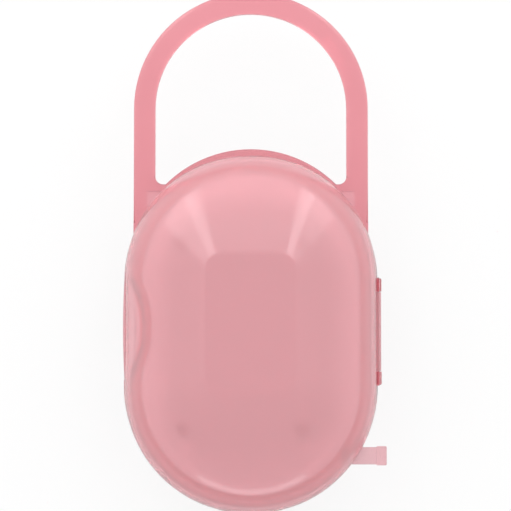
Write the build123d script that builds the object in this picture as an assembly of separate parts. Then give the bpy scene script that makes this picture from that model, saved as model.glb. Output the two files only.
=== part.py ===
"""Translucent pacifier case: a hinged clamshell with a rim frame that carries a loop handle.

Millimetres. The case lies on its back: +Z points out of the front face, +Y towards the handle and
+X towards the hinge. The pieces are drawn about the centre of the case outline, then moved together
so that the origin is at the bottom centre of the whole object's box.
"""
from build123d import *
import math
import os

# Case outline, seen from the front
case_half_width = 32.5  # radius of the rim's round ends
straight_length = 27.2  # straight part of each side, between the round ends
rim_reveal = 0.15  # how far the rim frame shows outside both shells

# Depths, from the table up
foot_proud = 0.8
rear_depth = 20.5
rim_thickness = 3.0
parting_gap = 0.15
front_depth = 21.0

# Walls and fits
rear_wall = 1.5
front_wall = 1.3
rim_skin = 1.0  # outer wall of the rim
flange_thickness = 1.0  # flat top of the rim, between its walls
tongue_inset = 3.4  # from the rim's outer edge to its upright inner wall
tongue_height = 2.2  # of the inner wall above the parting plane
tongue_thickness = 1.3
spigot_height = 2.0  # of the lip that drops into the rear shell, and of the inner wall beside it
spigot_thickness = 0.7
spigot_clearance = 0.1

# Flat fields of the two shells. A flank leaves its field with the straight share of its fall as a
# plain slope and the rest as a quarter ellipse.
front_flat_half_x = 11.0
front_flat_half_y = 16.6
front_flat_corner = 3.0
front_flat_rise = 1.6  # how far the field lies above the case centre
front_straight_share = 0.36
rear_flat_half_x = 21.0
rear_flat_half_y = 29.0
rear_flat_corner = 9.0
rear_flat_rise = 1.4
rear_straight_share = 0.05
flank_steps = 12
edge_softness = 0.07  # share of the flank over which the slope begins
end_flat = 1.2  # flat left in the middle of each shell's round ends

# Finger scoop in the left side of the rim and the rear shell
scoop_radius = 24.7
scoop_depth = 4.2
scoop_y = 1.8
thumb_lip_length = 27.0
thumb_lip_reach = 0.25  # beyond the rim
thumb_lip_thickness = 1.4

# Loop handle, its webs and the collar that joins them over the top of the case
handle_inset = 2.3  # from the rim's side to the loop's side
handle_bar_width = 5.6
handle_bar_corner = 0.9
handle_foot = 3.2  # square stretch at the lower end of each leg, beyond the rim
handle_rise = 44.7  # from the centre of the case's round top to that of the loop
web_rise = 24.9  # from the centre of the case's round top to the upper edge of the webs
web_corner = 2.0
web_rib = 1.7
web_outer_rib = 3.4
web_pocket_depth = 0.65
collar_tightness = 1.5  # how much less the collar's radius is than the rim's
collar_rise = 1.5  # beyond the rim, at the top of the case

# Side hinge
hinge_y = 0.5
hinge_length = 27.4
hinge_ear_length = 3.4
hinge_ear_radius = 0.9
hinge_ear_round = 0.4
hinge_boss_depth = 2.4  # solid stretch of the rim behind the hinge
hinge_barrel_radius = 0.8
hinge_pin_radius = 0.4
hinge_axis_proud = 0.15  # from the rim's outer face to the hinge axis
hinge_running_clearance = 0.05
hinge_end_gap = 0.2
hinge_swing_clearance = 0.3
hinge_pin_tail = 0.2  # how far each end of the pin shows

# Strap lug
lug_drop = 17.7  # below the centre of the case's round bottom
lug_width = 4.4
lug_thickness = 1.4
lug_head_width = 4.9
lug_head_thickness = 1.9
lug_head_length = 2.6
lug_proud = 2.3  # from the rim's side to the lug's tip
lug_length = 11.4
lug_boss_width = 7.0  # solid stretch of the rim around the lug's slot
lug_boss_wall = 1.2  # behind the end of the slot
lug_slot_clearance = 0.05
lug_head_round = 0.3

# Feet
foot_radius = 1.9
foot_seat = 0.5
foot_seat_clearance = 0.05
foot_spacing_x = 31.4
foot_spacing_y = 48.9
foot_shift_x = -2.2
foot_shift_y = -0.6
foot_round = 0.3

# Places that follow from the sizes above
shell_half_width = case_half_width - rim_reveal
half_straight = straight_length / 2
z_back = foot_proud
z_rim = z_back + rear_depth
z_parting = z_rim + rim_thickness
z_front = z_parting + parting_gap
scoop_x = -(case_half_width + scoop_radius - scoop_depth)
spigot_inset = rim_reveal + rear_wall + spigot_clearance
z_flange = z_parting - flange_thickness
z_spigot = z_rim - spigot_height
hinge_x = case_half_width + hinge_axis_proud
handle_half_width = case_half_width - handle_inset
handle_meets_rim = half_straight + math.sqrt(case_half_width**2 - handle_half_width**2)
handle_arc_height = half_straight + handle_rise
web_top_height = half_straight + web_rise
collar_radius = case_half_width - collar_tightness
lug_reach = case_half_width + lug_proud
lug_y = -half_straight - lug_drop
lug_root = lug_reach - lug_length
handle_centre_line = handle_half_width - handle_bar_width / 2
handle_inner_half = handle_half_width - handle_bar_width
handle_top = handle_arc_height + handle_half_width
case_bottom = half_straight + case_half_width
thumb_lip_x = case_half_width + thumb_lip_reach
reach_right = max(lug_reach, hinge_x + hinge_ear_radius)
to_origin = Vector((thumb_lip_x - reach_right) / 2, (case_bottom - handle_top) / 2, 0)


def stadium(half_width):
    """Outline with two round ends and straight sides, long way along Y."""
    return SlotOverall(straight_length + 2 * half_width, 2 * half_width, rotation=90)


def rim_plan(inset, scoop_inset):
    """The rim's outline moved inwards, with the finger scoop bitten out of its left side."""
    return stadium(case_half_width - inset) - Pos(scoop_x, scoop_y) * Circle(scoop_radius + scoop_inset)


def slab(plan, low, high):
    """A flat plan given thickness from one height to another."""
    return extrude(Pos(0, 0, low) * plan, high - low)


def hinge_rod(radius, start, end):
    """A round bar on the hinge axis, between two places measured from the hinge's middle."""
    middle = Pos(hinge_x, hinge_y + (start + end) / 2, z_parting)
    return middle * Rot(90, 0, 0) * Cylinder(radius, end - start)


def block(x_low, x_high, y_low, y_high, z_low, z_high):
    """A box from its limits."""
    centre = Pos((x_low + x_high) / 2, (y_low + y_high) / 2, (z_low + z_high) / 2)
    return centre * Box(x_high - x_low, y_high - y_low, z_high - z_low)


def soft_start(spread):
    """From 0 to 1 like spread, but level where it begins."""
    return (math.hypot(spread, edge_softness) - edge_softness) / (math.hypot(1, edge_softness) - edge_softness)


def dome(half_width, depth, flat, straight_share):
    """A solid dome over z = 0, from the shell's outline up to a small flat field."""
    flat_half_x, flat_half_y, flat_corner, flat_rise = flat
    round_end = half_width - end_flat / 2
    sections = []
    for step in range(flank_steps, -1, -1):
        angle = math.pi / 2 * (step / flank_steps) ** 1.5
        spread = math.sin(angle)
        height = (1 - straight_share) * math.cos(angle) + straight_share * (1 - soft_start(spread))
        half_x = flat_half_x + (half_width - flat_half_x) * spread
        half_y = flat_half_y + (half_straight + half_width - flat_half_y) * spread
        corner = flat_corner + (round_end - flat_corner) * spread
        centre = Pos(0, flat_rise * (1 - spread), depth * height)
        sections.append(centre * RectangleRounded(2 * half_x, 2 * half_y, corner))
    return loft(sections)


def shell_solid(wall, depth, flat, straight_share):
    """The solid outside and the solid inside of one shell, open side at z = 0."""
    outside = dome(shell_half_width, depth, flat, straight_share)
    inside = dome(shell_half_width - wall, depth - wall, flat, straight_share)
    return outside, inside


def scoop_ball(extra):
    """The ball that forms the finger scoop, grown by extra."""
    return Pos(scoop_x, scoop_y, z_parting) * Sphere(scoop_radius + extra)


def foot_places():
    """Name and centre of each of the four feet."""
    for row, y in (("lower", -foot_spacing_y / 2), ("upper", foot_spacing_y / 2)):
        for side, x in (("left", -foot_spacing_x / 2), ("right", foot_spacing_x / 2)):
            yield f"foot_{row}_{side}", x + foot_shift_x, y + rear_flat_rise + foot_shift_y


def rear_shell():
    """The deep half that lies on the table, with seats for the feet."""
    flat = (rear_flat_half_x, rear_flat_half_y, rear_flat_corner, -rear_flat_rise)
    outside, inside = shell_solid(rear_wall, rear_depth, flat, rear_straight_share)
    turn = Pos(0, 0, z_rim) * Rot(180, 0, 0)
    shell = (turn * outside - scoop_ball(0)) - (turn * inside - scoop_ball(rear_wall))
    for _, x, y in foot_places():
        shell -= slab(Pos(x, y) * Circle(foot_radius + foot_seat_clearance), 0, z_back + foot_seat)
    return shell


def hinge_ears():
    """Two end knuckles of the hinge with the material that ties them to the rim."""
    ears = []
    for side in (-1, 1):
        outer = side * hinge_length / 2
        inner = side * (hinge_length / 2 - hinge_ear_length)
        start, end = sorted((inner, outer))
        knuckle = hinge_rod(hinge_ear_radius, start, end)
        rims = knuckle.edges().filter_by(GeomType.CIRCLE).sort_by(Axis.Y)
        ears.append(fillet(rims[0] if side < 0 else rims[-1], hinge_ear_round))
        ears.append(block(hinge_x - hinge_ear_radius, hinge_x, hinge_y + start, hinge_y + end,
                          z_rim, z_parting))
    return ears


def handle_loop():
    """The swept bar of the loop handle, from one side of the case over the top to the other."""
    foot_y = handle_meets_rim - handle_bar_corner
    left = (-handle_centre_line, foot_y, z_rim + rim_thickness / 2)
    rise_left = (-handle_centre_line, handle_arc_height, left[2])
    top = (0, handle_arc_height + handle_centre_line, left[2])
    rise_right = (handle_centre_line, handle_arc_height, left[2])
    right = (handle_centre_line, foot_y, left[2])
    path = Line(left, rise_left) + ThreePointArc(rise_left, top, rise_right) + Line(rise_right, right)
    bar = RectangleRounded(handle_bar_width, rim_thickness, handle_bar_corner)
    return sweep(Plane(left, x_dir=(1, 0, 0), z_dir=(0, 1, 0)) * bar, path=path)


def web_plan():
    """The legs' square feet and the webs between legs and rim, seen from the front."""
    low = half_straight
    plate = Pos(0, (low + web_top_height + web_corner) / 2) * Rectangle(
        2 * handle_centre_line, web_top_height + web_corner - low)
    plate += Pos(0, (low + handle_meets_rim + handle_foot) / 2) * Rectangle(
        2 * handle_half_width, handle_meets_rim + handle_foot - low)
    window_high = handle_arc_height
    window = Pos(0, (web_top_height + window_high) / 2) * RectangleRounded(
        2 * handle_inner_half, window_high - web_top_height, web_corner)
    return plate - window


def web_pockets():
    """Triangular hollows that leave each web thin between its ribs."""
    depth = web_pocket_depth
    outer = handle_half_width - web_outer_rib
    field = Pos(0, (half_straight + web_top_height - web_rib) / 2) * Rectangle(
        2 * outer, web_top_height - web_rib - half_straight)
    plan = field - stadium(shell_half_width)
    front = slab(plan, z_parting - depth, z_parting + depth)
    back = slab(plan, z_rim - depth, z_rim + depth)
    return front + back


def rim_bosses(ring):
    """Solid stretches of the hollow rim that carry the hinge ears and the strap lug."""
    hinge = Pos(case_half_width, hinge_y) * Rectangle(2 * hinge_boss_depth, hinge_length)
    root = lug_root - lug_boss_wall
    lug = Pos((root + case_half_width) / 2, lug_y) * Rectangle(case_half_width - root, lug_boss_width)
    return slab(ring & hinge, z_rim, z_parting) + slab(ring & lug, z_rim, z_parting)


def rim_frame():
    """The hollow rim between the shells with its walls, collar, loop handle and hinge ears."""
    opening = rim_plan(tongue_inset + tongue_thickness, spigot_inset + tongue_thickness)
    collar_y = half_straight + case_half_width + collar_rise - collar_radius
    collar = Pos(0, collar_y) * Circle(collar_radius)
    collar -= Pos(0, collar_y - collar_radius) * Rectangle(4 * collar_radius, 2 * collar_radius)
    rim = slab(rim_plan(0, 0) + collar, z_rim, z_parting)
    webs = slab(web_plan(), z_rim, z_parting)
    frame = rim + handle_loop() + webs - web_pockets()
    for ear in hinge_ears():
        frame += ear
    frame -= slab(rim_plan(rim_skin, rim_skin), z_rim - 1, z_flange)
    frame += rim_bosses(rim_plan(0, 0) - opening)
    frame -= slab(opening, z_rim - 1, z_parting + 1)
    spigot = rim_plan(spigot_inset, spigot_inset)
    spigot -= rim_plan(spigot_inset + spigot_thickness, spigot_inset + spigot_thickness)
    frame += slab(spigot, z_spigot, z_parting)
    tongue = rim_plan(tongue_inset, spigot_inset) - opening
    frame += slab(tongue, z_spigot, z_parting + tongue_height)
    frame -= hinge_rod(hinge_pin_radius, -hinge_length, hinge_length)
    swing = hinge_length / 2 - hinge_ear_length
    frame -= hinge_rod(hinge_barrel_radius + hinge_swing_clearance, -swing, swing)
    frame -= lug_slot()
    return frame


def thumb_lip():
    """The shallow bow of the lid's left edge, above the finger scoop."""
    bow = thumb_lip_x - shell_half_width
    radius = (thumb_lip_length**2 / 4 + bow**2) / (2 * bow)
    edge = Pos(-shell_half_width, scoop_y) * Rectangle(front_wall, thumb_lip_length)
    plan = edge & Pos(radius - thumb_lip_x, scoop_y) * Circle(radius)
    return slab(plan, z_front, z_front + thumb_lip_thickness)


def front_shell():
    """The lid: a dome with a thumb lip and a hinge barrel."""
    flat = (front_flat_half_x, front_flat_half_y, front_flat_corner, front_flat_rise)
    outside, inside = shell_solid(front_wall, front_depth, flat, front_straight_share)
    lid = Pos(0, 0, z_front) * (outside - inside)
    lid += thumb_lip()
    half_barrel = hinge_length / 2 - hinge_ear_length - hinge_end_gap
    for side in (-1, 1):
        near, far = sorted((side * half_barrel, side * (hinge_length / 2 + hinge_end_gap)))
        lid -= hinge_rod(hinge_ear_radius + hinge_swing_clearance, near, far)
    lid += hinge_rod(hinge_barrel_radius, -half_barrel, half_barrel)
    lid += block(shell_half_width - front_wall, hinge_x, hinge_y - half_barrel, hinge_y + half_barrel,
                 z_front, z_parting + hinge_barrel_radius)
    lid -= hinge_rod(hinge_pin_radius + hinge_running_clearance, -hinge_length, hinge_length)
    return lid


def hinge_pin():
    """The pin held in both ears, on which the lid's barrel turns."""
    end = hinge_length / 2 + hinge_pin_tail
    return hinge_rod(hinge_pin_radius, -end, end)


def lug_slot():
    """The blind slot in the rim's side that holds the strap lug."""
    half_width = lug_width / 2 + lug_slot_clearance
    half_thickness = lug_thickness / 2 + lug_slot_clearance
    middle = z_rim + rim_thickness / 2
    return block(lug_root - lug_slot_clearance, lug_reach, lug_y - half_width, lug_y + half_width,
                 middle - half_thickness, middle + half_thickness)


def strap_lug():
    """A flat lug with a wider head, for the loop of a soother strap."""
    middle = z_rim + rim_thickness / 2
    shank = block(lug_root, lug_reach, lug_y - lug_width / 2, lug_y + lug_width / 2,
                  middle - lug_thickness / 2, middle + lug_thickness / 2)
    head = block(lug_reach - lug_head_length, lug_reach, lug_y - lug_head_width / 2,
                 lug_y + lug_head_width / 2, middle - lug_head_thickness / 2,
                 middle + lug_head_thickness / 2)
    return shank + fillet(head.edges(), lug_head_round)


def rest_foot(x, y):
    """One round foot in its seat."""
    foot = Cylinder(foot_radius, foot_proud + foot_seat)
    foot = fillet(foot.edges().sort_by(Axis.Z)[0], foot_round)
    return Pos(x, y, (foot_proud + foot_seat) / 2) * foot


def write_parts():
    """Writes one STEP file for each piece."""
    os.makedirs("parts", exist_ok=True)
    pieces = {maker.__name__: maker() for maker in (rear_shell, rim_frame, front_shell, hinge_pin, strap_lug)}
    for name, x, y in foot_places():
        pieces[name] = rest_foot(x, y)
    for name, piece in pieces.items():
        export_step(Pos(to_origin) * piece, f"parts/{name}.step")


write_parts()
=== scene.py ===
"""Translucent pacifier case on a white floor, seen almost straight from the front.

Metres, in the row frame: +Z up and out of the front face, +Y towards the handle, +X towards the
hinge. The two shells are drawn again from the rule of their domes, the feet as one repeated button
and the hinge pin as a rod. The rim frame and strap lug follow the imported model's own mesh.
"""
import math

import bmesh
import bpy
from mathutils import Matrix, Vector


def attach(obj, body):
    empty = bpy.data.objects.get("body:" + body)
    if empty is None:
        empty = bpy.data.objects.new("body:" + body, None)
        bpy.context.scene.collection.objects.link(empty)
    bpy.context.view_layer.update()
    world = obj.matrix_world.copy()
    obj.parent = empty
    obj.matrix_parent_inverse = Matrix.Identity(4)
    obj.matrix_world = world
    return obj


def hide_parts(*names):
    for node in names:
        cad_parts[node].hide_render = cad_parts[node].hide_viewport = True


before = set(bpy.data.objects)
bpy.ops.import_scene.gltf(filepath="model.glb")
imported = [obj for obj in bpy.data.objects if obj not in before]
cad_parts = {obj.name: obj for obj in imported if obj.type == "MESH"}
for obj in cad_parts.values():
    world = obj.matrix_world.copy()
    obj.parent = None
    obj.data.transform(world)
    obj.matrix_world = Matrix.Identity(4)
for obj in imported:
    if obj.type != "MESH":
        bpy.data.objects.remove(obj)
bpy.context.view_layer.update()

MM = 0.001

# Case outline and depths, measured from the centre of the case on the table
CASE_CENTRE = Vector((-1.025, -21.2, 0)) * MM
SHELL_HALF_WIDTH = 32.35 * MM
HALF_STRAIGHT = 13.6 * MM
END_FLAT = 1.2 * MM
Z_RIM = 21.3 * MM
Z_PARTING = 24.3 * MM
Z_FRONT = 24.45 * MM

# Lid
LID_DEPTH = 21.0 * MM
LID_WALL = 1.3 * MM
LID_FIELD = dict(field_half_width=11.0 * MM, field_half_length=16.6 * MM, field_corner=3.0 * MM,
                 field_rise=1.6 * MM, straight_share=0.36)
LIP_REACH = 32.75 * MM
LIP_LENGTH = 27.0 * MM
LIP_THICKNESS = 1.4 * MM
LIP_STEPS = 32

# Back
BACK_DEPTH = 20.5 * MM
BACK_WALL = 1.5 * MM
BACK_FIELD = dict(field_half_width=21.0 * MM, field_half_length=29.0 * MM, field_corner=9.0 * MM,
                  field_rise=-1.4 * MM, straight_share=0.05)
SCOOP_RADIUS = 24.7 * MM
SCOOP_X = -53.0 * MM
SCOOP_Y = 1.8 * MM

# Hinge
HINGE_X = 32.65 * MM
HINGE_Y = 0.5 * MM
HALF_BARREL = 10.1 * MM
EAR_GAP_END = 13.9 * MM
EAR_GAP_RADIUS = 1.2 * MM
BARREL_RADIUS = 0.8 * MM
BARREL_BORE = 0.45 * MM
PIN_RADIUS = 0.38 * MM
PIN_HALF_LENGTH = 13.9 * MM
PIN_ROUND = 0.1 * MM

# Feet
FOOT_SPACING = (31.4 * MM, 48.9 * MM)
FOOT_MIDDLE = Vector((-2.2, 0.8, 0)) * MM
FOOT_RADIUS = 1.9 * MM
FOOT_HEIGHT = 1.3 * MM
FOOT_ROUND = 0.3 * MM
SEAT_CLEARANCE = 0.05 * MM

# Fineness of the drawn surfaces
CAP_ROWS = 4
FLANK_ROWS = 40
ARC_STEPS = 24
RUN_STEPS = 24
EDGE_SOFTNESS = 0.07
FLANK_BUNCHING = 1.5  # above 1, rows lie closer together near the field
FOOT_SIDES = 64
ROD_SIDES = 96
BALL_SIDES = 192
BEVEL_LIMIT = math.radians(60)
FOOT_BEVEL_STEPS = 4
PIN_BEVEL_STEPS = 3
SEAM = 0.02 * MM  # keeps faces that meet from lying in each other
SMOOTH_ANGLE = math.radians(28)
LARGE_FACE_WEIGHT = 100
MERGE_DISTANCE = 0.001 * MM

# The view of the photograph
VIEW_WIDTH = 131.4 * MM  # what the picture's width spans at the parting plane
VIEW_CENTRE = Vector((0.175, -1.1, 24.3)) * MM
VIEW_ELEVATION = math.radians(85)
LENS = 250.0
SENSOR = 36.0
CLIP_START = 0.01
CLIP_END = 20

# Finishes: linear colour, share of light that goes through, then the absorption's colour and its
# strength per metre of plastic, and the least and most roughness
LID_PLASTIC = ((1.0, 0.61, 0.65, 1), 0.66, (1.0, 0.53, 0.58, 1), 150, 0.09, 0.12)
BACK_PLASTIC = ((1.0, 0.82, 0.85, 1), 0.98, (1.0, 0.38, 0.43, 1), 150, 0.05, 0.09)
FRAME_PLASTIC = ((0.98, 0.62, 0.67, 1), 0.95, (0.86, 0.22, 0.29, 1), 270, 0.06, 0.10)
LUG_PLASTIC = ((1.0, 0.72, 0.76, 1), 0.85, (0.95, 0.40, 0.45, 1), 170, 0.2, 0.3)
FOOT_PLASTIC = ((1.0, 0.70, 0.74, 1), 0.90, (1.0, 0.45, 0.50, 1), 200, 0.03, 0.06)
PLASTIC_IOR = 1.49
FLOW_SCALE = 38
FLOW_DETAIL = 3
FLOW_RANGE = (0.3, 0.7)
FLOW_SHADE = (0.99, 1.0)
WHITE = (1, 1, 1, 1)
FLOOR_PAINT = (0.9, 0.9, 0.9, 1)
FLOOR_SIZE = 6
FLOOR_GAP = 0.05 * MM  # keeps the feet's soles apart from the floor's face

# Light of the studio
SKY_STRENGTH = 0.88
ZENITH_STRENGTH = 0.56
ZENITH_FROM = 0.85
LIGHT_BOUNCES = 24
GLOW_SHARE = 0.85  # of the floor's white that doesn't take shadow
GLOW_THROUGH = 0.35  # of that share, where the floor is seen through plastic or mirrored in it
SOFT_BOXES = (  # name, azimuth, elevation, distance, width, height, watts
    ("left strip", 120, 36, 0.6, 0.13, 0.95, 0.45),
    ("left fade", 132, 36, 0.6, 0.30, 0.95, 1.0),
    ("right strip", 62, 36, 0.6, 0.11, 0.95, 0.5),
    ("right fade", 51, 36, 0.6, 0.26, 0.95, 0.7),
    ("top fill", 90, 50, 0.9, 0.75, 0.5, 0.3),
    ("low strip", 270, 6, 0.6, 0.6, 0.06, 0.25),
)


class Field:
    """A number inside a node tree, with the usual arithmetic."""

    def __init__(self, tree, socket):
        self.tree = tree
        self.socket = socket

    def work(self, operation, *others):
        node = self.tree.nodes.new("ShaderNodeMath")
        node.operation = operation
        for target, value in zip(node.inputs, (self, *others)):
            if isinstance(value, Field):
                self.tree.links.new(value.socket, target)
            else:
                target.default_value = value
        return Field(self.tree, node.outputs["Value"])

    def __add__(self, other):
        return self.work("ADD", other)

    def __sub__(self, other):
        return self.work("SUBTRACT", other)

    def __mul__(self, other):
        return self.work("MULTIPLY", other)

    def __truediv__(self, other):
        return self.work("DIVIDE", other)

    def rest(self):
        """What is missing to one."""
        return self * -1 + 1


def new_recipe(name, sizes):
    """A geometry node tree with named sizes, a material and an output."""
    tree = bpy.data.node_groups.new(name, "GeometryNodeTree")
    tree.interface.new_socket("Geometry", in_out="OUTPUT", socket_type="NodeSocketGeometry")
    for size in sizes:
        tree.interface.new_socket(size, in_out="INPUT", socket_type="NodeSocketFloat")
    tree.interface.new_socket("Material", in_out="INPUT", socket_type="NodeSocketMaterial")
    given = tree.nodes.new("NodeGroupInput")
    return tree, given, {size: Field(tree, given.outputs[size]) for size in sizes}


def finish_recipe(tree, given, geometry):
    """Realize Instances and Set Material at the end of a tree."""
    real = tree.nodes.new("GeometryNodeRealizeInstances")
    paint = tree.nodes.new("GeometryNodeSetMaterial")
    result = tree.nodes.new("NodeGroupOutput")
    tree.links.new(geometry, real.inputs["Geometry"])
    tree.links.new(real.outputs["Geometry"], paint.inputs["Geometry"])
    tree.links.new(given.outputs["Material"], paint.inputs["Material"])
    tree.links.new(paint.outputs["Geometry"], result.inputs["Geometry"])


def dome_recipe():
    """A solid dome: rounded rectangles that widen from a small flat field to the case's outline.

    A grid is bent into place. Its rows run from the field's middle down the flank, over the open
    side and to the middle of that, and its columns run round the outline.
    """
    tree, given, size = new_recipe("domed solid", (
        "Half Width", "Half Straight", "Depth", "Skirt", "Field Half Width", "Field Half Length",
        "Field Corner", "Field Rise", "Straight Share", "Edge Softness", "End Flat"))
    last_flank = CAP_ROWS + FLANK_ROWS
    side_steps = ARC_STEPS + RUN_STEPS
    columns = 4 * side_steps + 1
    sheet = tree.nodes.new("GeometryNodeMeshGrid")
    sheet.inputs["Vertices X"].default_value = last_flank + 3
    sheet.inputs["Vertices Y"].default_value = columns
    index = Field(tree, tree.nodes.new("GeometryNodeInputIndex").outputs["Index"])
    row = ((index + 0.5) / columns).work("FLOOR")
    column = index - row * columns

    # Round the outline: a quarter turn at each corner, then a straight run to the next corner
    quarter = ((column + 0.5) / side_steps).work("FLOOR")
    within = column - quarter * side_steps
    arc = (within / ARC_STEPS).work("MINIMUM", 1.0)
    run = ((within - ARC_STEPS) / RUN_STEPS).work("MAXIMUM", 0.0)
    turn = (quarter + arc) * (math.pi / 2)
    here = (quarter + 0.5) * (math.pi / 2)
    there = (quarter + 1.5) * (math.pi / 2)
    root = math.sqrt(2)
    across = (here.work("COSINE") * run.rest() + there.work("COSINE") * run) * root
    along = (here.work("SINE") * run.rest() + there.work("SINE") * run) * root

    # Down the flank: part plain slope, part quarter ellipse
    step = ((row - CAP_ROWS) / FLANK_ROWS).work("MAXIMUM", 0.0).work("MINIMUM", 1.0)
    angle = step.work("POWER", FLANK_BUNCHING) * (math.pi / 2)
    spread = angle.work("SINE")
    soft = size["Edge Softness"]
    full = (soft * soft + 1).work("SQRT") - soft
    eased = ((spread * spread + soft * soft).work("SQRT") - soft) / full
    share = size["Straight Share"]
    height = angle.work("COSINE") * share.rest() + eased.rest() * share
    half_x = size["Field Half Width"] + (size["Half Width"] - size["Field Half Width"]) * spread
    reach = size["Half Straight"] + size["Half Width"]
    half_y = size["Field Half Length"] + (reach - size["Field Half Length"]) * spread
    round_end = size["Half Width"] - size["End Flat"] / 2
    corner = size["Field Corner"] + (round_end - size["Field Corner"]) * spread

    opened = row.work("GREATER_THAN", last_flank + 0.5)
    closed = row.work("GREATER_THAN", last_flank + 1.5)
    inward = (row / CAP_ROWS).work("MINIMUM", 1.0) * closed.rest()
    place = tree.nodes.new("ShaderNodeCombineXYZ")
    x = (across * (half_x - corner) + turn.work("COSINE") * corner) * inward
    y = (along * (half_y - corner) + turn.work("SINE") * corner) * inward
    y += size["Field Rise"] * spread.rest()
    z = size["Depth"] * height * opened.rest() - size["Skirt"] * opened
    for axis, value in zip("XYZ", (x, y, z)):
        tree.links.new(value.socket, place.inputs[axis])
    bend = tree.nodes.new("GeometryNodeSetPosition")
    tree.links.new(sheet.outputs["Mesh"], bend.inputs["Geometry"])
    tree.links.new(place.outputs["Vector"], bend.inputs["Position"])
    close = tree.nodes.new("GeometryNodeMergeByDistance")
    close.inputs["Distance"].default_value = MERGE_DISTANCE
    tree.links.new(bend.outputs["Geometry"], close.inputs["Geometry"])
    finish_recipe(tree, given, close.outputs["Geometry"])
    return tree


def buttons_recipe():
    """Four round buttons at the corners of a rectangle, standing on z = 0."""
    tree, given, size = new_recipe("four buttons", ("Spacing X", "Spacing Y", "Radius", "Height"))
    corners = tree.nodes.new("GeometryNodeMeshGrid")
    corners.inputs["Vertices X"].default_value = 2
    corners.inputs["Vertices Y"].default_value = 2
    tree.links.new(size["Spacing X"].socket, corners.inputs["Size X"])
    tree.links.new(size["Spacing Y"].socket, corners.inputs["Size Y"])
    button = tree.nodes.new("GeometryNodeMeshCylinder")
    button.inputs["Vertices"].default_value = FOOT_SIDES
    tree.links.new(size["Radius"].socket, button.inputs["Radius"])
    tree.links.new(size["Height"].socket, button.inputs["Depth"])
    lift = tree.nodes.new("ShaderNodeCombineXYZ")
    tree.links.new((size["Height"] / 2).socket, lift.inputs["Z"])
    stand = tree.nodes.new("GeometryNodeTransform")
    tree.links.new(button.outputs["Mesh"], stand.inputs["Geometry"])
    tree.links.new(lift.outputs["Vector"], stand.inputs["Translation"])
    repeat = tree.nodes.new("GeometryNodeInstanceOnPoints")
    tree.links.new(corners.outputs["Mesh"], repeat.inputs["Points"])
    tree.links.new(stand.outputs["Geometry"], repeat.inputs["Instance"])
    finish_recipe(tree, given, repeat.outputs["Instances"])
    return tree


def new_object(name, mesh):
    """An object at the origin that holds a mesh."""
    holder = bpy.data.objects.new(name, mesh)
    bpy.context.scene.collection.objects.link(holder)
    return holder


def settle(holder):
    """Turns an object with modifiers into its plain mesh."""
    seen = holder.evaluated_get(bpy.context.evaluated_depsgraph_get())
    mesh = bpy.data.meshes.new_from_object(seen)
    holder.modifiers.clear()
    holder.data = mesh
    return holder


def made_by(recipe, name, **sizes):
    """The plain mesh that a recipe gives with these sizes."""
    holder = new_object(name, bpy.data.meshes.new(name))
    modifier = holder.modifiers.new("recipe", "NODES")
    modifier.node_group = recipe
    sockets = {item.name: item.identifier for item in recipe.interface.items_tree
               if item.in_out == "INPUT"}
    for size, value in sizes.items():
        modifier[sockets[size.replace("_", " ").title()]] = value
    return settle(holder)


def combine(piece, tool, operation):
    """Joins a closed tool to a piece, or cuts it away, and removes the tool."""
    modifier = piece.modifiers.new("shape", "BOOLEAN")
    modifier.solver = "MANIFOLD"
    modifier.operation = operation
    modifier.object = tool
    settle(piece)
    bpy.data.objects.remove(tool)
    return piece


def join(piece, tool):
    return combine(piece, tool, "UNION")


def cut(piece, tool):
    return combine(piece, tool, "DIFFERENCE")


def round_edges(piece, radius, steps):
    """Rounds the sharp edges."""
    modifier = piece.modifiers.new("round", "BEVEL")
    modifier.width = radius
    modifier.segments = steps
    modifier.limit_method = "ANGLE"
    modifier.angle_limit = BEVEL_LIMIT
    return settle(piece)


def smooth(piece):
    """Smooth shading that stops at real edges."""
    piece.data.shade_smooth()
    piece.data.set_sharp_from_angle(angle=SMOOTH_ANGLE)
    modifier = piece.modifiers.new("even shading", "WEIGHTED_NORMAL")
    modifier.weight = LARGE_FACE_WEIGHT
    modifier.keep_sharp = True
    return settle(piece)


def shape_from(name, build):
    """An object from what a function draws into an empty mesh."""
    drawing = bmesh.new()
    build(drawing)
    bmesh.ops.recalc_face_normals(drawing, faces=drawing.faces)
    mesh = bpy.data.meshes.new(name)
    drawing.to_mesh(mesh)
    drawing.free()
    return new_object(name, mesh)


def prism(points, low, high):
    """An outline given thickness from one height to another."""
    def build(drawing):
        ring = [drawing.verts.new((x, y, low)) for x, y in points]
        floor = drawing.faces.new(ring)
        raised = bmesh.ops.extrude_face_region(drawing, geom=[floor])["geom"]
        for part in raised:
            if isinstance(part, bmesh.types.BMVert):
                part.co.z = high
    return shape_from("prism", build)


def block(low, high):
    """A box between two corners."""
    (x0, y0, z0), (x1, y1, z1) = low, high
    return prism([(x0, y0), (x1, y0), (x1, y1), (x0, y1)], z0, z1)


def along_y(middle):
    """The place of a shape that is drawn along Z and lies along Y."""
    return Matrix.Translation(Vector(middle)) @ Matrix.Rotation(math.pi / 2, 4, "X")


def hinge_rod(radius, start, end):
    """A round bar on the hinge axis, between two places measured from the hinge's middle."""
    place = along_y((HINGE_X, HINGE_Y + (start + end) / 2, Z_PARTING))
    return shape_from("rod", lambda drawing: bmesh.ops.create_cone(
        drawing, cap_ends=True, segments=ROD_SIDES, radius1=radius, radius2=radius,
        depth=end - start, matrix=place))


def scoop_ball(extra):
    """The ball that forms the finger scoop, grown by extra."""
    place = along_y((SCOOP_X, SCOOP_Y, Z_PARTING))
    return shape_from("ball", lambda drawing: bmesh.ops.create_uvsphere(
        drawing, u_segments=BALL_SIDES, v_segments=BALL_SIDES // 2, radius=SCOOP_RADIUS + extra,
        matrix=place))


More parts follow.
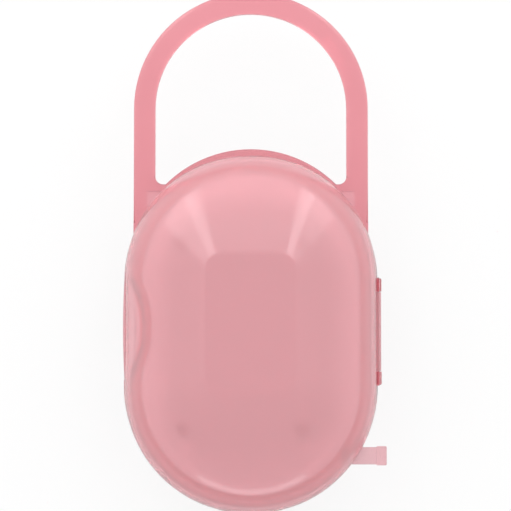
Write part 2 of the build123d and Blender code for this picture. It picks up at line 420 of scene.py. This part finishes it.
def dome(recipe, wall, depth, skirt, field, material):
    """One face of a shell as a solid dome, moved inwards by wall."""
    return made_by(recipe, "dome", half_width=SHELL_HALF_WIDTH - wall, half_straight=HALF_STRAIGHT,
                   depth=depth - wall, skirt=skirt, edge_softness=EDGE_SOFTNESS, end_flat=END_FLAT,
                   material=material, **field)


def thumb_lip():
    """The shallow bow of the lid's left edge, above the finger scoop."""
    bow = LIP_REACH - SHELL_HALF_WIDTH
    radius = (LIP_LENGTH ** 2 / 4 + bow ** 2) / (2 * bow)
    half_turn = math.asin(LIP_LENGTH / 2 / radius)
    root = -SHELL_HALF_WIDTH + LID_WALL / 2
    points = [(root, SCOOP_Y - LIP_LENGTH / 2), (root, SCOOP_Y + LIP_LENGTH / 2)]
    for step in range(LIP_STEPS + 1):
        angle = math.pi + half_turn * (2 * step / LIP_STEPS - 1)
        points.append((radius - LIP_REACH + radius * math.cos(angle),
                       SCOOP_Y + radius * math.sin(angle)))
    return prism(points, Z_FRONT, Z_FRONT + LIP_THICKNESS)


def lid_shell(recipe, material):
    """The lid: a dome with a thumb lip and a hinge barrel."""
    lid = dome(recipe, 0, LID_DEPTH, 0, LID_FIELD, material)
    cut(lid, dome(recipe, LID_WALL, LID_DEPTH, MM, LID_FIELD, material))
    lid.data.transform(Matrix.Translation((0, 0, Z_FRONT)))
    join(lid, thumb_lip())
    cut(lid, hinge_rod(EAR_GAP_RADIUS, -EAR_GAP_END, -HALF_BARREL))
    cut(lid, hinge_rod(EAR_GAP_RADIUS, HALF_BARREL, EAR_GAP_END))
    join(lid, hinge_rod(BARREL_RADIUS, -HALF_BARREL, HALF_BARREL))
    join(lid, block((SHELL_HALF_WIDTH - LID_WALL, HINGE_Y - HALF_BARREL, Z_FRONT),
                    (HINGE_X, HINGE_Y + HALF_BARREL, Z_PARTING + BARREL_RADIUS)))
    cut(lid, hinge_rod(BARREL_BORE, -HALF_BARREL - MM, HALF_BARREL + MM))
    return lid


def buttons(name, radius, height, material):
    """Four round buttons where the feet are."""
    made = made_by(buttons_recipe(), name, spacing_x=FOOT_SPACING[0], spacing_y=FOOT_SPACING[1],
                   radius=radius, height=height, material=material)
    made.data.transform(Matrix.Translation(FOOT_MIDDLE))
    return made


def back_shell(recipe, material):
    """The deep back half, with the finger scoop and the seats of the feet."""
    turn = Matrix.Translation((0, 0, Z_RIM - SEAM)) @ Matrix.Rotation(math.pi, 4, "X")
    depth = BACK_DEPTH - SEAM
    back = dome(recipe, 0, depth, 0, BACK_FIELD, material)
    hollow = dome(recipe, BACK_WALL, depth, MM, BACK_FIELD, material)
    back.data.transform(turn)
    hollow.data.transform(turn)
    cut(back, scoop_ball(0))
    cut(back, cut(hollow, scoop_ball(BACK_WALL)))
    return cut(back, buttons("seats", FOOT_RADIUS + SEAT_CLEARANCE, FOOT_HEIGHT + SEAM, material))


def feet(material):
    """The four round feet."""
    made = buttons("feet", FOOT_RADIUS, FOOT_HEIGHT, material)
    return round_edges(made, FOOT_ROUND, FOOT_BEVEL_STEPS)


def hinge_pin():
    """The pin through both ears, with rounded ends."""
    pin = hinge_rod(PIN_RADIUS, -PIN_HALF_LENGTH, PIN_HALF_LENGTH)
    return round_edges(pin, PIN_ROUND, PIN_BEVEL_STEPS)


def merged_copy(node):
    """A CAD node's mesh made whole, so that it can be shaded smoothly."""
    def build(drawing):
        drawing.from_mesh(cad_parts[node].data)
        bmesh.ops.remove_doubles(drawing, verts=drawing.verts, dist=MERGE_DISTANCE)
    piece = shape_from(node, build)
    if "custom_normal" in piece.data.attributes:
        piece.data.attributes.remove(piece.data.attributes["custom_normal"])
    return piece


def hand_over(piece, name, body, slot, material, *nodes):
    """Paints and names a finished piece and lets it stand for CAD nodes."""
    piece.data.materials.clear()
    piece.data.materials.append(material)
    smooth(piece)
    piece.name = piece.data.name = name
    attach(piece, body)
    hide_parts(*nodes)


def new_material(name):
    """An empty node material with its output."""
    material = bpy.data.materials.new(name)
    material.use_nodes = True
    material.node_tree.nodes.clear()
    output = material.node_tree.nodes.new("ShaderNodeOutputMaterial")
    return material, material.node_tree.nodes, material.node_tree.links, output


def moulded_finish_group():
    """Gloss that varies a little over moulded plastic, with a faint flow of the melt in its colour."""
    group = bpy.data.node_groups.new("moulded finish", "ShaderNodeTree")
    for socket, way, kind in (("Colour", "INPUT", "Color"), ("Smoothest", "INPUT", "Float"),
                              ("Roughest", "INPUT", "Float"), ("Colour", "OUTPUT", "Color"),
                              ("Roughness", "OUTPUT", "Float")):
        group.interface.new_socket(socket, in_out=way, socket_type="NodeSocket" + kind)
    nodes, links = group.nodes, group.links
    inside = nodes.new("NodeGroupInput")
    outside = nodes.new("NodeGroupOutput")
    place = nodes.new("ShaderNodeTexCoord")
    flow = nodes.new("ShaderNodeTexNoise")
    flow.inputs["Scale"].default_value = FLOW_SCALE
    flow.inputs["Detail"].default_value = FLOW_DETAIL
    links.new(place.outputs["Object"], flow.inputs["Vector"])
    gloss, shade = nodes.new("ShaderNodeMapRange"), nodes.new("ShaderNodeMapRange")
    for spread in (gloss, shade):
        spread.inputs["From Min"].default_value, spread.inputs["From Max"].default_value = FLOW_RANGE
        links.new(flow.outputs["Fac"], spread.inputs["Value"])
    links.new(inside.outputs["Smoothest"], gloss.inputs["To Min"])
    links.new(inside.outputs["Roughest"], gloss.inputs["To Max"])
    links.new(gloss.outputs["Result"], outside.inputs["Roughness"])
    shade.inputs["To Min"].default_value, shade.inputs["To Max"].default_value = FLOW_SHADE
    tint = nodes.new("ShaderNodeVectorMath")
    tint.operation = "SCALE"
    links.new(inside.outputs["Colour"], tint.inputs[0])
    links.new(shade.outputs["Result"], tint.inputs["Scale"])
    links.new(tint.outputs["Vector"], outside.inputs["Colour"])
    return group


def clear_plastic(name, look, finish):
    """Milky see-through plastic, deeper in colour where it is thicker."""
    colour, clearness, depth_colour, depth_strength, smoothest, roughest = look
    material, nodes, links, output = new_material(name)
    group = nodes.new("ShaderNodeGroup")
    group.node_tree = finish
    group.inputs["Colour"].default_value = colour
    group.inputs["Smoothest"].default_value = smoothest
    group.inputs["Roughest"].default_value = roughest
    skin = nodes.new("ShaderNodeBsdfPrincipled")
    skin.inputs["IOR"].default_value = PLASTIC_IOR
    skin.inputs["Transmission Weight"].default_value = clearness
    links.new(group.outputs["Colour"], skin.inputs["Base Color"])
    links.new(group.outputs["Roughness"], skin.inputs["Roughness"])
    links.new(skin.outputs["BSDF"], output.inputs["Surface"])
    depth = nodes.new("ShaderNodeVolumeAbsorption")
    depth.inputs["Color"].default_value = depth_colour
    depth.inputs["Density"].default_value = depth_strength
    links.new(depth.outputs["Volume"], output.inputs["Volume"])
    return material


def pale_floor():
    """A white floor that keeps only a light shadow for the camera."""
    bpy.ops.mesh.primitive_plane_add(size=FLOOR_SIZE, location=(0, 0, -FLOOR_GAP))
    floor = bpy.context.object
    floor.name = "floor"
    material, nodes, links, output = new_material("floor white")
    paint = nodes.new("ShaderNodeBsdfDiffuse")
    paint.inputs["Color"].default_value = FLOOR_PAINT
    glow = nodes.new("ShaderNodeEmission")
    glow.inputs["Color"].default_value = WHITE
    glow.inputs["Strength"].default_value = 1.0
    path = nodes.new("ShaderNodeLightPath")
    camera, glossy, through = (Field(material.node_tree, path.outputs[f"Is {ray} Ray"])
                               for ray in ("Camera", "Glossy", "Transmission"))
    seen = camera.work("MAXIMUM", glossy.work("MAXIMUM", through) * GLOW_THROUGH)
    mix = nodes.new("ShaderNodeMixShader")
    links.new((seen * GLOW_SHARE).socket, mix.inputs["Fac"])
    links.new(paint.outputs["BSDF"], mix.inputs[1])
    links.new(glow.outputs["Emission"], mix.inputs[2])
    links.new(mix.outputs["Shader"], output.inputs["Surface"])
    floor.data.materials.append(material)


def soft_world():
    """Even studio light from all round, dimmer overhead and white where the camera sees it."""
    world = bpy.data.worlds.new("studio")
    world.use_nodes = True
    nodes, links = world.node_tree.nodes, world.node_tree.links
    nodes.clear()
    output = nodes.new("ShaderNodeOutputWorld")
    light = nodes.new("ShaderNodeBackground")
    light.inputs["Color"].default_value = WHITE
    place = nodes.new("ShaderNodeTexCoord")
    height = nodes.new("ShaderNodeSeparateXYZ")
    links.new(place.outputs["Generated"], height.inputs["Vector"])
    shade = nodes.new("ShaderNodeMapRange")
    shade.interpolation_type = "SMOOTHSTEP"
    shade.inputs["From Min"].default_value = ZENITH_FROM
    shade.inputs["From Max"].default_value = 1.0
    shade.inputs["To Min"].default_value = SKY_STRENGTH
    shade.inputs["To Max"].default_value = ZENITH_STRENGTH
    links.new(height.outputs["Z"], shade.inputs["Value"])
    links.new(shade.outputs["Result"], light.inputs["Strength"])
    white = nodes.new("ShaderNodeBackground")
    white.inputs["Color"].default_value = WHITE
    white.inputs["Strength"].default_value = 1.0
    path = nodes.new("ShaderNodeLightPath")
    mix = nodes.new("ShaderNodeMixShader")
    links.new(path.outputs["Is Camera Ray"], mix.inputs["Fac"])
    links.new(light.outputs["Background"], mix.inputs[1])
    links.new(white.outputs["Background"], mix.inputs[2])
    links.new(mix.outputs["Shader"], output.inputs["Surface"])
    bpy.context.scene.world = world


def soft_box(name, azimuth, elevation, distance, width, height, watts):
    """A rectangular lamp that faces the case. Azimuth is from +X towards +Y, in degrees."""
    lamp = bpy.data.lights.new(name, "AREA")
    lamp.shape = "RECTANGLE"
    lamp.size = width
    lamp.size_y = height
    lamp.energy = watts
    holder = bpy.data.objects.new(name, lamp)
    bpy.context.scene.collection.objects.link(holder)
    a, e = math.radians(azimuth), math.radians(elevation)
    away = Vector((math.cos(a) * math.cos(e), math.sin(a) * math.cos(e), math.sin(e)))
    holder.location = VIEW_CENTRE + away * distance
    holder.rotation_mode = "QUATERNION"
    holder.rotation_quaternion = away.to_track_quat("Z", "Y")


def photo_camera():
    """A long lens almost straight above the front face, a little from the lower end."""
    lens = bpy.data.cameras.new("camera")
    lens.lens = LENS
    lens.sensor_width = SENSOR
    camera = bpy.data.objects.new("camera", lens)
    bpy.context.scene.collection.objects.link(camera)
    distance = VIEW_WIDTH * LENS / SENSOR
    back = Vector((0, -math.cos(VIEW_ELEVATION), math.sin(VIEW_ELEVATION)))
    camera.location = VIEW_CENTRE + back * distance
    camera.rotation_mode = "QUATERNION"
    camera.rotation_quaternion = (-back).to_track_quat("-Z", "Y")
    lens.clip_start = CLIP_START
    lens.clip_end = CLIP_END
    bpy.context.scene.camera = camera


finish = moulded_finish_group()
lid_plastic = clear_plastic("lid pink", LID_PLASTIC, finish)
back_plastic = clear_plastic("back pink", BACK_PLASTIC, finish)
frame_plastic = clear_plastic("frame pink", FRAME_PLASTIC, finish)
lug_plastic = clear_plastic("lug pink", LUG_PLASTIC, finish)
foot_plastic = clear_plastic("foot pink", FOOT_PLASTIC, finish)

domed = dome_recipe()
to_case = Matrix.Translation(CASE_CENTRE)
foot_names = [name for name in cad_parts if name.startswith("foot_")]
drawn = (
    (lid_shell(domed, lid_plastic), "lid", "lid", "shell_plastic", lid_plastic, ["front_shell"]),
    (back_shell(domed, back_plastic), "back", "case", "shell_plastic", back_plastic, ["rear_shell"]),
    (hinge_pin(), "pin", "case", "frame_plastic", frame_plastic, ["hinge_pin"]),
    (feet(foot_plastic), "feet", "case", "foot_plastic", foot_plastic, foot_names),
)
for piece, name, body, slot, material, nodes in drawn:
    piece.data.transform(to_case)
    hand_over(piece, name, body, slot, material, *nodes)
hand_over(merged_copy("rim_frame"), "frame_and_loop", "case", "frame_plastic", frame_plastic,
          "rim_frame")
hand_over(merged_copy("strap_lug"), "lug", "case", "lug_plastic", lug_plastic, "strap_lug")

pale_floor()
soft_world()
for settings in SOFT_BOXES:
    soft_box(*settings)
photo_camera()

scene = bpy.context.scene
scene.view_settings.view_transform = "Standard"
scene.cycles.max_bounces = LIGHT_BOUNCES
scene.cycles.transmission_bounces = LIGHT_BOUNCES
